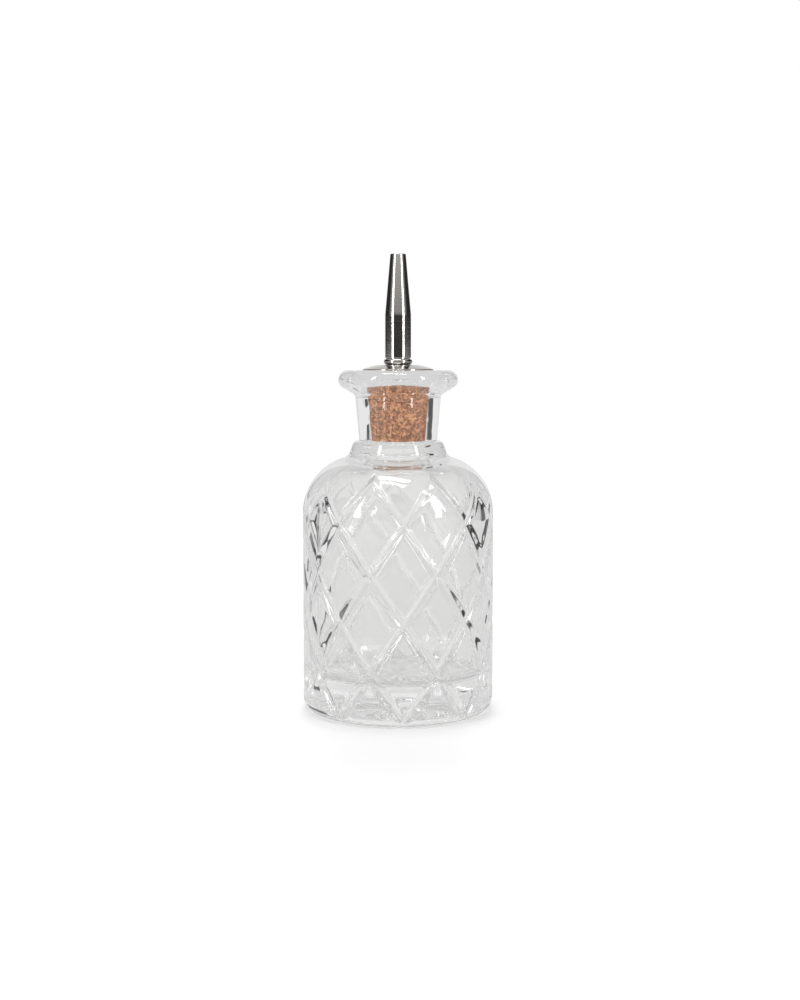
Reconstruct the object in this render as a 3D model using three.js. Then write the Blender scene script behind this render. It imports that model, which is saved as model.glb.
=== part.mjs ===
// Dasher bottle for bitters: a pressed glass bottle with a diamond cut pattern,
// closed by a tapered cork that carries a slim steel spout.
// Millimetres, +Z up. The origin is the centre of the circle that the bottle stands on.
// The front of the bottle faces -Y, and angles are counted from there towards +X.

import * as THREE from 'three';

// Bottle body
const bodyRadius = 28;
const bodyWall = 3.7;
const shoulderFoot = 58.2; // height at which the straight side ends
const shoulderRadius = 17;
const heelRadius = 3.8;
const bearingWidth = 3.6; // of the flat ring that the bottle stands on
const puntDepth = 1.3; // of the shallow hollow under the base
const baseThickness = 11;
const floorFillet = 4;

// Ring at the foot of the neck
const collarFootRadius = 14.4;
const collarTopRadius = 13.2;
const collarHeight = 3.7;
const collarBevel = 0.9; // between the ring and the shoulder
const collarRound = 1.3; // of the ring's upper edge

// Neck, lip and bore
const neckFootRadius = 11.4;
const neckTopRadius = 12.45;
const neckHeight = 12.25; // from the ring to the fillet under the lip
const lipFillet = 2;
const lipRadius = 17.5;
const lipRound = 2.7; // radius of the lip's rolled edge
const lipSlope = Math.PI / 6; // of the lip's underside, above level
const boreFootRadius = 8.4;
const boreTopRadius = 9.3;
const mouthRound = 4.6; // of the rounding between the bore and the top of the lip
const throatFillet = 4.3; // where the bore opens into the shoulder

// Diamond cut pattern: two hands of V grooves that cross, in pointed arches at the top
const grooveColumns = 9; // grooves of each hand
const grooveRows = 5; // from the crossings on the heel up to the arches' points
const patternFoot = 1.3; // height of the crossings on the heel
const archPointShare = 0.55; // of the shoulder's curve, up to the arches' points
const patternTurn = THREE.MathUtils.degToRad(3.4); // of the pattern from the front
const grooveWidth = 3.1; // across the groove
const grooveDepth = 0.85;
const grooveTipShare = 0.62; // width and depth left at an arch's point
const grooveFadeRows = 1.2; // rows over which a groove narrows towards that point

// Cork
const corkLength = 21;
const corkSink = 0.4; // of the cork's top below the top of the lip
const corkStraight = 2; // below the mouth, where the bore holds the cork
const corkTaper = 1; // by which the foot's radius is the smaller
const corkEdge = 0.4; // broken edge at both ends

// Steel disc on the cork
const discRadius = 10.4;
const discEdge = 0.7; // height of the upright edge
const discRise = 1.3; // of the dome above the edge
const discFlatRadius = 4.6; // of the level part that the spout stands on

// Steel spout
const barrelRadius = 3.8;
const barrelLength = 12.4;
const taperLength = 17.6;
const tipRadius = 2.25;
const tipWall = 0.85;
const tipEdge = 0.3; // rounding of the rim
const beadRadius = 4.2;
const beadFootRadius = 3;
const beadHeight = 1.7;
const beadNeckDepth = 0.25; // of the fine ring line above the bead
const beadNeckHeight = 0.3;

// Stem through the cork, with the washer and the insert at its lower end
const stemRadius = 2.4;
const stemBore = 1.8;
const stemReach = 6; // into the spout
const flareRadius = 3.4;
const flareHeight = 0.9;
const washerRadius = 5;
const washerThickness = 0.8;
const recessDepth = 3; // of the pocket in the cork's foot that hides them
const recessMargin = 0.6; // around the washer
const insertLength = 5; // in the stem
const insertHole = 0.6;
const insertHeadRadius = 2.4;
const insertHeadHeight = 0.7;

// Fits and fineness
const fit = 0.3; // clearance around a piece inside another
const gridPerRow = 4; // steps of the glass's net from one row of crossings to the next
const steelFacets = 32;
const corkFacets = 36;

// A point of a profile: distance from the axis, height.
function at(radius, height) {
  return new THREE.Vector2(radius, height);
}

// Points along an arc of a profile, both ends included. Angles run from outwards
// towards up.
function arc(centreRadius, centreHeight, radius, from, to, steps) {
  return Array.from({ length: steps + 1 }, (_, i) => {
    const angle = from + ((to - from) * i) / steps;
    return at(centreRadius + radius * Math.cos(angle), centreHeight + radius * Math.sin(angle));
  });
}

// A solid of revolution about Z, from a profile that runs up its outside and down its
// inside.
function revolve(profile, facets) {
  return new THREE.LatheGeometry(profile, facets).rotateX(Math.PI / 2);
}

// A ring-shaped solid of revolution: its profile closes on itself off the axis.
function revolveRing(profile, facets) {
  return revolve([...profile, profile[0]], facets);
}

// Heights of the glass. The shoulder's arc ends at the bevel below the ring. The
// sloping underside of the lip touches both the fillet below it and the rolled edge
// beyond it, which sets how far the edge's centre lies above the fillet's.
const shoulderCentre = bodyRadius - shoulderRadius;
const shoulderTurn = Math.acos((collarFootRadius + collarBevel - shoulderCentre) / shoulderRadius);
const shoulderTop = shoulderFoot + shoulderRadius * Math.sin(shoulderTurn);
const collarFoot = shoulderTop + collarBevel;
const collarTop = collarFoot + collarHeight;
const neckTop = collarTop + neckHeight;
const lipCentre = lipRadius - lipRound;
const lipCentreHeight = neckTop
  + Math.tan(lipSlope) * (lipCentre - neckTopRadius - lipFillet)
  + (lipRound + lipFillet) / Math.cos(lipSlope);
const lipTop = lipCentreHeight + lipRound;

// The bore. Its throat rounds into the ceiling of the inner shoulder.
const innerShoulder = shoulderRadius - bodyWall;
const throatCentre = boreFootRadius + throatFillet;
const throatTurn = Math.acos((throatCentre - shoulderCentre) / (innerShoulder + throatFillet));
const boreFoot = shoulderFoot + (innerShoulder + throatFillet) * Math.sin(throatTurn);
const boreTop = lipTop - mouthRound;

function boreRadius(height) {
  return THREE.MathUtils.mapLinear(height, boreFoot, boreTop, boreFootRadius, boreTopRadius);
}

// The net of the glass: rings of points, every ring with a point in every column.
const columns = 2 * grooveColumns * gridPerRow;
const columnTurn = (2 * Math.PI) / columns;

function place(column, radius, height) {
  const angle = patternTurn + column * columnTurn;
  return [radius * Math.sin(angle), -radius * Math.cos(angle), height];
}

function plainRing({ x: radius, y: height }) {
  return Array.from({ length: columns }, (_, column) => place(column, radius, height));
}

// Sizes of the pattern. Its rows are counted in steps of the net, up the side and along
// the shoulder's curve, from the crossings on the heel to the arches' points.
const sideLength = shoulderFoot - patternFoot;
const patternLength = sideLength + archPointShare * shoulderRadius * shoulderTurn;
const pointRow = grooveRows * gridPerRow;
const rowStep = patternLength / pointRow;
const lean = Math.atan((bodyRadius * columnTurn) / rowStep);
const grooveReach = grooveWidth / Math.sin(lean) / 2; // from a groove's middle, straight up

// What is left of a groove's width and depth at a row.
function grooveShare(row) {
  const fade = (pointRow - row) / (grooveFadeRows * gridPerRow);
  return THREE.MathUtils.lerp(grooveTipShare, 1, Math.min(1, fade));
}

// How far the shoulder has turned inwards at a length along the pattern.
function shoulderTurnAt(length) {
  return Math.max(0, length - sideLength) / shoulderRadius;
}

// A point of the patterned skin, cut to a depth. The heel curves in under the cut, so
// that the grooves run out on it.
function skin(row, column, depth) {
  const length = row * rowStep;
  const height = patternFoot + length;
  if (height < heelRadius) {
    const across = Math.sqrt(heelRadius ** 2 - (heelRadius - height) ** 2);
    return place(column, bodyRadius - Math.max(depth, heelRadius - across), height);
  }
  const turn = shoulderTurnAt(length);
  const reach = shoulderRadius - depth;
  return place(
    column,
    shoulderCentre + reach * Math.cos(turn),
    Math.min(height, shoulderFoot) + reach * Math.sin(turn),
  );
}

// Steps from the nearest groove of one hand: rising grooves run where row and column
// grow alike, falling ones where one grows as the other shrinks.
function stepsFromGroove(steps) {
  return THREE.MathUtils.euclideanModulo(steps + gridPerRow, 2 * gridPerRow) - gridPerRow;
}

// One ring of the pattern. A point in the middle of a groove lies at its full depth, and
// the points a step to either side move to the groove's edges.
function patternRing(row) {
  const share = grooveShare(row);
  const shift = (grooveReach * share) / rowStep - 1;
  const toEdge = (steps) => (Math.abs(steps) === 1 ? steps * shift : 0);
  return Array.from({ length: columns }, (_, column) => {
    const rising = stepsFromGroove(row - column);
    const falling = stepsFromGroove(row + column);
    const depth = rising === 0 || falling === 0 ? grooveDepth * share : 0;
    const rowShift = (toEdge(falling) + toEdge(rising)) / 2;
    const columnShift = (toEdge(falling) - toEdge(rising)) / 2;
    return skin(row + rowShift, column + columnShift, depth);
  });
}

// Whether the net's cell above and beside a point is split by its rising diagonal, which
// puts a fold along every groove's middle and edges. Above the last row the folds close
// the arches instead.
function splitsRising(row, column) {
  const rising = stepsFromGroove(row - column);
  const falling = stepsFromGroove(row + column + 1);
  const alongGroove = Math.abs(rising) <= 1 && falling !== 0;
  return row < pointRow ? alongGroove : !alongGroove;
}

// A closed geometry through rings of points, from a single point on the axis to another.
// Each cell between two rings is two triangles, on either side of a diagonal.
function net(rings, isRising) {
  const corners = [];
  let lowerStart = 0;
  rings.slice(0, -1).forEach((lower, index) => {
    const upper = rings[index + 1];
    const upperStart = lowerStart + lower.length;
    for (let column = 0; column < columns; column += 1) {
      const beside = (column + 1) % columns;
      const foot = lowerStart + (column % lower.length);
      const footBeside = lowerStart + (beside % lower.length);
      const head = upperStart + (column % upper.length);
      const headBeside = upperStart + (beside % upper.length);
      const halves = isRising(index, column)
        ? [[foot, footBeside, headBeside], [foot, headBeside, head]]
        : [[foot, footBeside, head], [footBeside, headBeside, head]];
      corners.push(...halves.filter((half) => new Set(half).size === half.length).flat());
    }
    lowerStart = upperStart;
  });
  const geometry = new THREE.BufferGeometry();
  geometry.setAttribute('position', new THREE.Float32BufferAttribute(rings.flat(2), 3));
  geometry.setIndex(corners);
  geometry.computeVertexNormals();
  return geometry;
}

// The profile under the base: a shallow hollow, the flat ring that the bottle stands on
// and the foot of the heel.
function baseProfile() {
  const bearingOuter = bodyRadius - heelRadius;
  const bearingInner = bearingOuter - bearingWidth;
  const puntShares = [0.6, 0.3]; // of the hollow's depth, on a parabola
  const heelTurn = -Math.asin(1 - patternFoot / heelRadius);
  return [
    ...puntShares.map((share) => at(bearingInner * Math.sqrt(1 - share), puntDepth * share)),
    at(bearingInner, 0),
    ...arc(bearingOuter, heelRadius, heelRadius, -Math.PI / 2, heelTurn, 2).slice(0, -1),
  ];
}

// The profile above the pattern: shoulder, ring, neck and lip, and then down inside
// through bore and throat to the cavity's floor.
function neckProfile() {
  const archTip = patternLength + grooveReach * grooveTipShare;
  const cavityRadius = bodyRadius - bodyWall;
  const floorCorner = cavityRadius - floorFillet;
  return [
    ...arc(shoulderCentre, shoulderFoot, shoulderRadius, shoulderTurnAt(archTip), shoulderTurn, 3),
    at(collarFootRadius, collarFoot),
    ...arc(collarTopRadius - collarRound, collarTop - collarRound, collarRound, 0, Math.PI / 2, 3),
    at(neckFootRadius, collarTop),
    ...arc(neckTopRadius + lipFillet, neckTop, lipFillet, Math.PI, Math.PI / 2 + lipSlope, 2),
    ...arc(lipCentre, lipCentreHeight, lipRound, lipSlope - Math.PI / 2, Math.PI / 2, 6),
    ...arc(boreTopRadius + mouthRound, boreTop, mouthRound, Math.PI / 2, Math.PI, 4),
    ...arc(throatCentre, boreFoot, throatFillet, Math.PI, Math.PI + throatTurn, 3),
    ...arc(shoulderCentre, shoulderFoot, innerShoulder, throatTurn, 0, 5).slice(1),
    ...arc(floorCorner, baseThickness + floorFillet, floorFillet, 0, -Math.PI / 2, 3),
  ];
}

function glassBottle() {
  const base = baseProfile();
  const pattern = Array.from({ length: pointRow + 1 }, (_, row) => patternRing(row));
  const rings = [
    [[0, 0, puntDepth]],
    ...base.map(plainRing),
    ...pattern,
    ...neckProfile().map(plainRing),
    [[0, 0, baseThickness]],
  ];
  const firstRow = 1 + base.length;
  const inPattern = (index) => index >= firstRow && index <= firstRow + pointRow;
  return net(rings, (index, column) => inPattern(index) && splitsRising(index - firstRow, column));
}

// Heights of the stopper, counted from the top of the cork
const stopperHeight = lipTop - corkSink;
const discHeight = discEdge + discRise;
const corkFoot = -corkLength;
const recessTop = corkFoot + recessDepth;
const washerFoot = recessTop - washerThickness;
const stemFoot = washerFoot - flareHeight;

// The cork tapers up to the stretch that the bore grips, and is straight above that.
function corkStopper() {
  const grip = boreTop - corkStraight;
  const gripRadius = boreRadius(grip) - fit;
  const footRadius = gripRadius - corkTaper;
  const recessRadius = washerRadius + recessMargin;
  const hole = stemRadius + fit;
  return revolveRing([
    at(recessRadius, corkFoot),
    at(footRadius - corkEdge, corkFoot),
    at(footRadius, corkFoot + corkEdge),
    at(gripRadius, grip - stopperHeight),
    at(gripRadius, -corkEdge),
    at(gripRadius - corkEdge, 0),
    at(hole, 0),
    at(hole, recessTop),
    at(recessRadius, recessTop),
  ], corkFacets);
}

// The disc: level below, with an upright edge and a low dome.
function flangeDisc() {
  const hole = stemRadius + fit;
  const domeSteps = 6;
  const dome = Array.from({ length: domeSteps + 1 }, (_, i) => {
    const share = i / domeSteps;
    const radius = THREE.MathUtils.lerp(discRadius, discFlatRadius, share);
    return at(radius, discEdge + discRise * Math.sin((share * Math.PI) / 2));
  });
  return revolveRing([at(hole, 0), at(discRadius, 0), ...dome, at(hole, discHeight)], steelFacets);
}

// The spout: a rounded bead, a fine ring line, a straight barrel and a slender taper.
// Its socket takes the stem, and the bore narrows from there to the tip.
function dasherSpout() {
  const beadMiddle = beadHeight / 2;
  const barrelFoot = beadHeight + beadNeckHeight;
  const barrelTop = barrelFoot + barrelLength;
  const tip = barrelTop + taperLength;
  const neckRadius = barrelRadius - beadNeckDepth;
  const beadSteps = 4;
  const bead = Array.from({ length: beadSteps + 1 }, (_, i) => {
    const turn = (i / beadSteps - 0.5) * Math.PI;
    const rootRadius = turn < 0 ? beadFootRadius : neckRadius;
    const swell = (beadRadius - rootRadius) * Math.cos(turn);
    return at(rootRadius + swell, beadMiddle * (1 + Math.sin(turn)));
  });
  const socketRadius = stemRadius + fit;
  const socketTop = stemReach + fit;
  return revolveRing([
    at(socketRadius, 0),
    ...bead,
    at(neckRadius, barrelFoot),
    at(barrelRadius, barrelFoot),
    at(barrelRadius, barrelTop),
    at(tipRadius, tip - tipEdge),
    at(tipRadius - tipEdge, tip),
    at(tipRadius - tipWall, tip),
    at(stemBore, socketTop),
    at(socketRadius, socketTop),
  ], steelFacets);
}

// The stem: a tube with a flared foot, from below the washer up into the spout.
function stemTube() {
  const length = discHeight + stemReach - stemFoot;
  return revolveRing([
    at(stemBore, 0),
    at(flareRadius, 0),
    at(flareRadius, flareHeight),
    at(stemRadius, flareHeight),
    at(stemRadius, length),
    at(stemBore, length),
  ], steelFacets);
}

function retainingWasher() {
  const hole = stemRadius + fit;
  return revolveRing([
    at(hole, 0),
    at(washerRadius, 0),
    at(washerRadius, washerThickness),
    at(hole, washerThickness),
  ], steelFacets);
}

// The insert: a plug with a fine hole, whose head lies against the stem's foot.
function dashInsert() {
  const plugRadius = stemBore - fit;
  return revolveRing([
    at(insertHole, 0),
    at(insertHeadRadius, 0),
    at(insertHeadRadius, insertHeadHeight),
    at(plugRadius, insertHeadHeight),
    at(plugRadius, insertHeadHeight + insertLength),
    at(insertHole, insertHeadHeight + insertLength),
  ], steelFacets);
}

const glass = new THREE.MeshStandardMaterial({ color: 0xe6ebea, roughness: 0.04, metalness: 0 });
const cork = new THREE.MeshStandardMaterial({ color: 0xb5794f, roughness: 0.9, metalness: 0 });
const steel = new THREE.MeshStandardMaterial({ color: 0xbfc0c1, roughness: 0.2, metalness: 1 });

// A named piece, at a height in its group.
function piece(name, geometry, material, height = 0) {
  const mesh = new THREE.Mesh(geometry, material);
  mesh.name = name;
  mesh.position.z = height;
  return mesh;
}

const stopper = new THREE.Group();
stopper.position.z = stopperHeight;
stopper.add(
  piece('cork_stopper', corkStopper(), cork),
  piece('flange_disc', flangeDisc(), steel),
  piece('dasher_spout', dasherSpout(), steel, discHeight),
  piece('stem_tube', stemTube(), steel, stemFoot),
  piece('retaining_washer', retainingWasher(), steel, washerFoot),
  piece('dash_insert', dashInsert(), steel, stemFoot - insertHeadHeight),
);

const part = new THREE.Group();
part.add(piece('glass_bottle', glassBottle(), glass), stopper);

export default part;
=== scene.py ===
import math

import bpy
import numpy as np
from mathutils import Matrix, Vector, noise


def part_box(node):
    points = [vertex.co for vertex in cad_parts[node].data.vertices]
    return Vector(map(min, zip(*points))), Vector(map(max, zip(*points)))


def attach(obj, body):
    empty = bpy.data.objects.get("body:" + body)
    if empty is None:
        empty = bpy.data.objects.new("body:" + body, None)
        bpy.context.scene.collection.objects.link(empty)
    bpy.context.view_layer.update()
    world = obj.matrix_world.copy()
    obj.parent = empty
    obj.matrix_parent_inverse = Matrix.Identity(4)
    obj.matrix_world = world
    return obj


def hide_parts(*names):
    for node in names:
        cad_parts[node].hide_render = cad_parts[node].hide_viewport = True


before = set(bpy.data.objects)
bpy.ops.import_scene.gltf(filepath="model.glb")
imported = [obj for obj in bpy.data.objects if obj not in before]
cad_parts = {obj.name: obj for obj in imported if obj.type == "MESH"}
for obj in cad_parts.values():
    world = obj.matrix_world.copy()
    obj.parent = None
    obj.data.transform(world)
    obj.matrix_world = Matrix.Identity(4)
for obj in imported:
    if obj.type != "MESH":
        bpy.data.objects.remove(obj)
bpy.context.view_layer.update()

bl_info = {
    "name": "Bitters Bottle",
    "version": (1, 0, 0),
    "blender": (4, 5, 0),
    "location": "3D View > Sidebar > Bitters Bottle",
    "description": "Fine surfaces, finishes and studio for a cut-glass dasher bottle with a cork stopper",
    "category": "Object",
}

MM = 0.001

# Glass: radii, heights and roundings from the heel up, then the bore and its mouth,
# whose flare is finer than the solid model's
SHOULDER_FOOT = 58.2 * MM
SHOULDER_RADIUS = 17 * MM
HEEL_RADIUS = 3.8 * MM
HEEL_PLAIN_TURN = math.radians(12)
HEEL_PATTERN_TURN = math.radians(14)
BEARING_WIDTH = 3.6 * MM
PUNT_DEPTH = 1.3 * MM
BASE_THICKNESS = 11 * MM
FLOOR_FILLET = 4 * MM
COLLAR_FOOT_RADIUS = 14.4 * MM
COLLAR_TOP_RADIUS = 13.1 * MM
COLLAR_HEIGHT = 3.7 * MM
COLLAR_BEVEL = 0.9 * MM
COLLAR_BEVEL_ROUND = 0.8 * MM
COLLAR_ROUND = 1.2 * MM
COLLAR_FOOT_ROUND = 0.5 * MM
NECK_FOOT_RADIUS = 11.4 * MM
NECK_FOOT_ROUND = 0.4 * MM
NECK_TOP_RADIUS = 12.45 * MM
NECK_HEIGHT = 12.25 * MM
LIP_FILLET = 2 * MM
LIP_RADIUS = 17.5 * MM
LIP_ROUND = 2.7 * MM
LIP_SLOPE = math.pi / 6
BORE_FOOT_RADIUS = 8.4 * MM
BORE_TOP_RADIUS = 9.3 * MM
MOUTH_ROUND = 1.2 * MM
MOUTH_TILT = math.radians(52)
MOUTH_FILLET = 1.5 * MM
THROAT_FILLET = 4.3 * MM

# Radius of the innermost ring of a surface that closes on the axis, as a share of its own
POLE_SHARE = 0.08

# Cut pattern: grooves of either hand round the bottle, and rows of crossings up it
GROOVES = 9
ROWS = 5
PATTERN_FOOT = 1.3 * MM
ARCH_POINT_SHARE = 0.55
PATTERN_TURN = math.radians(3.4)
TIP_SHARE = 0.62
FADE_ROWS = 1.2
STEPS_PER_ROW = 32
PATTERN_OVERRUN_SHARE = 1.2

# Powers that blend the grooves where they cross, and all of them with the heel's round
CROSSING_POWER = 6
HEEL_POWER = 4

# Pressed star under the base
STAR_RAYS = 24
STAR_DEPTH = 0.9 * MM
STAR_POWER = 0.7

# Waviness of the inside: long swells with short ones on them, and how much of both is
# gone at the neck, which is pressed round a plug
LONG_SWELL = 11 * MM
LONG_SWELL_HEIGHT_SHARE = 0.8
SHORT_SWELL = 5 * MM
SHORT_SWELL_SHARE = 0.5
SHORT_SWELL_SHIFT = Vector((7, 3, 1))
UPRIGHT_SWELL_SHARE = 0.3
NECK_CALM_SHARE = 0.33

# Stopper
CORK_LENGTH = 21 * MM
CORK_TOP_RADIUS = 9.05 * MM
CORK_FOOT_RADIUS = 7.75 * MM
CORK_STRAIGHT = 5 * MM
CORK_EDGE = 0.4 * MM
CORK_STEP = 0.3 * MM
PIT_SIZE = 1.3 * MM
PIT_DEPTH = 0.5 * MM
PIT_LEVEL = 0.28
STEM_HOLE = 2.7 * MM
RECESS_DEPTH = 3 * MM
RECESS_RADIUS = 5.6 * MM
DISC_RADIUS = 10.4 * MM
DISC_EDGE = 0.7 * MM
DISC_RISE = 1.3 * MM
DISC_FLAT_RADIUS = 4.6 * MM
BARREL_RADIUS = 3.8 * MM
BARREL_LENGTH = 12.4 * MM
BARREL_ROUND = 14 * MM
TAPER_LENGTH = 17.6 * MM
TIP_RADIUS = 2.25 * MM
TIP_WALL = 0.85 * MM
TIP_EDGE = 0.3 * MM
BEAD_RADIUS = 4.2 * MM
BEAD_FOOT_RADIUS = 3 * MM
BEAD_HEIGHT = 1.7 * MM
BEAD_NECK_DEPTH = 0.25 * MM
BEAD_NECK_HEIGHT = 0.3 * MM
STEM_RADIUS = 2.4 * MM
STEM_BORE = 1.8 * MM
STEM_REACH = 6 * MM
FLARE_RADIUS = 3.4 * MM
FLARE_HEIGHT = 0.9 * MM
WASHER_RADIUS = 5 * MM
WASHER_THICKNESS = 0.8 * MM
INSERT_LENGTH = 5 * MM
INSERT_HOLE = 0.6 * MM
INSERT_HEAD_RADIUS = 2.4 * MM
INSERT_HEAD_HEIGHT = 0.7 * MM
FIT = 0.3 * MM
EDGE = 0.15 * MM
FINE_EDGE = 0.1 * MM
WIDE_EDGE = 0.2 * MM

STEEL_COLUMNS = 96
CORK_COLUMNS = 180

# How much lamp light each side of the glass lets through, at the base and at the neck
BASE_SHADOW = 0.15
NECK_SHADOW = 0.9

# The glass glows a plain pale grey, painted light in place of what the path would go on to meet, for rays
# that have been mirrored, or have met surfaces of any kind, more often than this
MOST_MIRRORINGS = 3.5
MOST_BOUNCES = 11.5
PATH_END_GLOW = 0.68

# Camera: how far it stands to the right of the bottle's axis, and its tilt down
CAMERA_ASIDE = 0.557 * MM
CAMERA_TILT = math.radians(5.22)

# Table: its greys, its glow far off and its glow under the glass, by distance in metres
TABLE_HALF = 3
TABLE_GREYS = (0.54, 0.56)
FAR_GLOW = 0.42
FAR_GLOW_REACH = (0.1, 1.2)
UNDER_GLOW = 0.25
UNDER_GLOW_REACH = (0.024, 0.03)

# Height share of the sky over which the backdrop falls to its overhead level
OVERHEAD_SHARES = (0.2, 0.95)

# Strip lamps: their turn from the camera's side in degrees, their distance and height
STRIP_TURN = 49
STRIP_REACH = 0.62
STRIP_HEIGHT = 0.32

# Cards that the steel mirrors: their distance and heights, and how far from a strip
# lamp's middle they end on either side of it, in degrees
MIRROR_REACH = 0.95
CARD_FOOT = 0.001
CARD_TOP = 0.9
STRIP_MARGIN = 6
FRONT_LOW_TOP = 0.24
SIDE_LOW_TOP = 0.2
SIDE_LOW_FOOT = 0.1
FRONT_DARK = 0.04
SIDE_DARK = 0.03

# Grey of the cards that the spout's taper mirrors: in front by height, in metres,
# and at each side by turn from the backdrop, in degrees
FRONT_SHADES = ((0.322, 0.27), (0.338, 0.34), (0.354, 0.42), (0.37, 0.5), (CARD_TOP, 0.58))
SIDE_SHADES = ((115, 0.6), (106, 0.32), (95, 0.13), (25, SIDE_DARK))

# Dark cards that the cuts in the glass show: turns in degrees, distance and heights
ACCENT_DARK = 0.02
ACCENTS = (
    ("right_accent", (34, 88), 0.75, (CARD_FOOT, 0.08)),
    ("left_accent", (-88, -50), 0.75, (CARD_FOOT, 0.08)),
    ("neck_accent", (38, 62), 0.9, (0.03, 0.4)),
    ("groove_accent", (-54, -30), 0.3, (CARD_FOOT, 0.05)),
)


# Settings

class GlassSettings(bpy.types.PropertyGroup):
    """Sizes and colour of the glass that a user would change."""

    body_radius: bpy.props.FloatProperty(
        name="Body radius",
        description="Outer radius of the straight side",
        default=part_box("glass_bottle")[1].y,
        unit="LENGTH",
    )
    wall: bpy.props.FloatProperty(
        name="Wall",
        description="Thickness of the side",
        default=3.7 * MM,
        unit="LENGTH",
    )
    groove_width: bpy.props.FloatProperty(
        name="Groove width",
        description="Width of a cut of the diamond pattern",
        default=3.1 * MM,
        unit="LENGTH",
    )
    groove_depth: bpy.props.FloatProperty(
        name="Groove depth",
        description="Depth of a cut of the diamond pattern",
        default=0.78 * MM,
        unit="LENGTH",
    )
    waviness: bpy.props.FloatProperty(
        name="Waviness",
        description="How far the blown inside wanders from a true round",
        default=0.15 * MM,
        unit="LENGTH",
    )
    colour: bpy.props.FloatVectorProperty(
        name="Colour",
        description="What one pass through the glass lets through",
        default=(0.982, 0.982, 0.978),
        size=3,
        subtype="COLOR",
    )


class CorkSettings(bpy.types.PropertyGroup):
    """Colours of the cork that a user would change."""

    grain: bpy.props.FloatProperty(
        name="Grain",
        description="Width of a cork granule",
        default=0.55 * MM,
        unit="LENGTH",
    )
    light_colour: bpy.props.FloatVectorProperty(
        name="Light granules",
        description="Colour of the palest granules",
        default=(0.66, 0.325, 0.15),
        size=3,
        subtype="COLOR",
    )
    middle_colour: bpy.props.FloatVectorProperty(
        name="Common granules",
        description="Colour of most granules",
        default=(0.4, 0.155, 0.06),
        size=3,
        subtype="COLOR",
    )
    dark_colour: bpy.props.FloatVectorProperty(
        name="Dark granules",
        description="Colour of the darkest granules",
        default=(0.17, 0.06, 0.026),
        size=3,
        subtype="COLOR",
    )
    speck_colour: bpy.props.FloatVectorProperty(
        name="Specks",
        description="Colour of the bark specks",
        default=(0.08, 0.033, 0.015),
        size=3,
        subtype="COLOR",
    )


class SteelSettings(bpy.types.PropertyGroup):
    """Finish of the steel that a user would change."""

    colour: bpy.props.FloatVectorProperty(
        name="Colour",
        description="Colour of the polished steel",
        default=(0.66, 0.645, 0.62),
        size=3,
        subtype="COLOR",
    )
    roughness: bpy.props.FloatProperty(
        name="Roughness",
        description="Roughness of the polished steel",
        default=0.12,
        min=0,
        max=1,
        subtype="FACTOR",
    )


class StageSettings(bpy.types.PropertyGroup):
    """Camera and light levels that a user would change."""

    camera_distance: bpy.props.FloatProperty(
        name="Camera distance",
        description="From the bottle's axis to the camera",
        default=422.5 * MM,
        unit="LENGTH",
    )
    camera_height: bpy.props.FloatProperty(
        name="Camera height",
        description="Height of the camera above the table",
        default=100.4 * MM,
        unit="LENGTH",
    )
    lens: bpy.props.FloatProperty(
        name="Lens",
        description="Focal length in millimetres on a 36 mm sensor",
        default=51.9,
    )
    backdrop: bpy.props.FloatProperty(
        name="Backdrop",
        description="Brightness of the white backdrop",
        default=1.0,
    )
    seen_level: bpy.props.FloatProperty(
        name="Seen level",
        description="Brightness of the backdrop that glass and metal show",
        default=0.82,
    )
    overhead_level: bpy.props.FloatProperty(
        name="Overhead level",
        description="Brightness that glass and metal show straight above",
        default=0.45,
    )
    fill: bpy.props.FloatProperty(
        name="Fill",
        description="Brightness of the surroundings that light the pieces",
        default=0.5,
    )
    table_lift: bpy.props.FloatProperty(
        name="Table lift",
        description="How much whiter than lit the table looks to the camera",
        default=0.33,
    )


# Profiles: lists of (distance from the axis, height)

def arc(centre_radius, centre_height, radius, start, end, steps):
    """Points along an arc, both ends included. Angles run from outwards towards up."""
    angles = [start + (end - start) * i / steps for i in range(steps + 1)]
    return [
        (centre_radius + radius * math.cos(a), centre_height + radius * math.sin(a))
        for a in angles
    ]


def rounded(corners, steps=6, support=0.02 * MM):
    """The points of a closed or open profile whose corners are rounded.

    Each corner is (radius, height, fillet). A supporting point just outside each end of
    a fillet keeps the flats beside it flat under smooth shading.
    """
    points = []
    for index, (radius, height, fillet) in enumerate(corners):
        here = Vector((radius, height))
        before = Vector(corners[index - 1][:2])
        after = Vector(corners[(index + 1) % len(corners)][:2])
        if not fillet:
            points.append((radius, height))
            continue
        back = (before - here).normalized()
        ahead = (after - here).normalized()
        half_angle = back.angle(ahead) / 2
        run = fillet / math.tan(half_angle)
        middle = here + (back + ahead).normalized() * (fillet / math.sin(half_angle))
        start = (here + back * run - middle).normalized()
        end = (here + ahead * run - middle).normalized()
        points.append(tuple(here + back * (run + support)))
        for i in range(steps + 1):
            points.append(tuple(middle + start.slerp(end, i / steps) * fillet))
        points.append(tuple(here + ahead * (run + support)))
    return points


# Meshes

def ring(radius, height, columns):
    """The points of a level circle. Angles are counted from the front, -Y, towards +X."""
    angles = PATTERN_TURN + np.arange(columns) * (2 * math.pi / columns)
    return np.stack(
        [radius * np.sin(angles), -radius * np.cos(angles), np.full(columns, height)], axis=1
    )


def faces_between(lower_start, upper_start, columns):
    """Quads between two rings of points."""
    return [
        (
            lower_start + column,
            lower_start + (column + 1) % columns,
            upper_start + (column + 1) % columns,
            upper_start + column,
        )
        for column in range(columns)
    ]


def lathe(profile, columns):
    """Points and faces of a ring-shaped solid whose profile closes on itself."""
    points = np.concatenate([ring(r, z, columns) for r, z in profile])
    faces = []
    for index in range(len(profile)):
        above = (index + 1) % len(profile)
        faces += faces_between(index * columns, above * columns, columns)
    return points, faces


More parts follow.
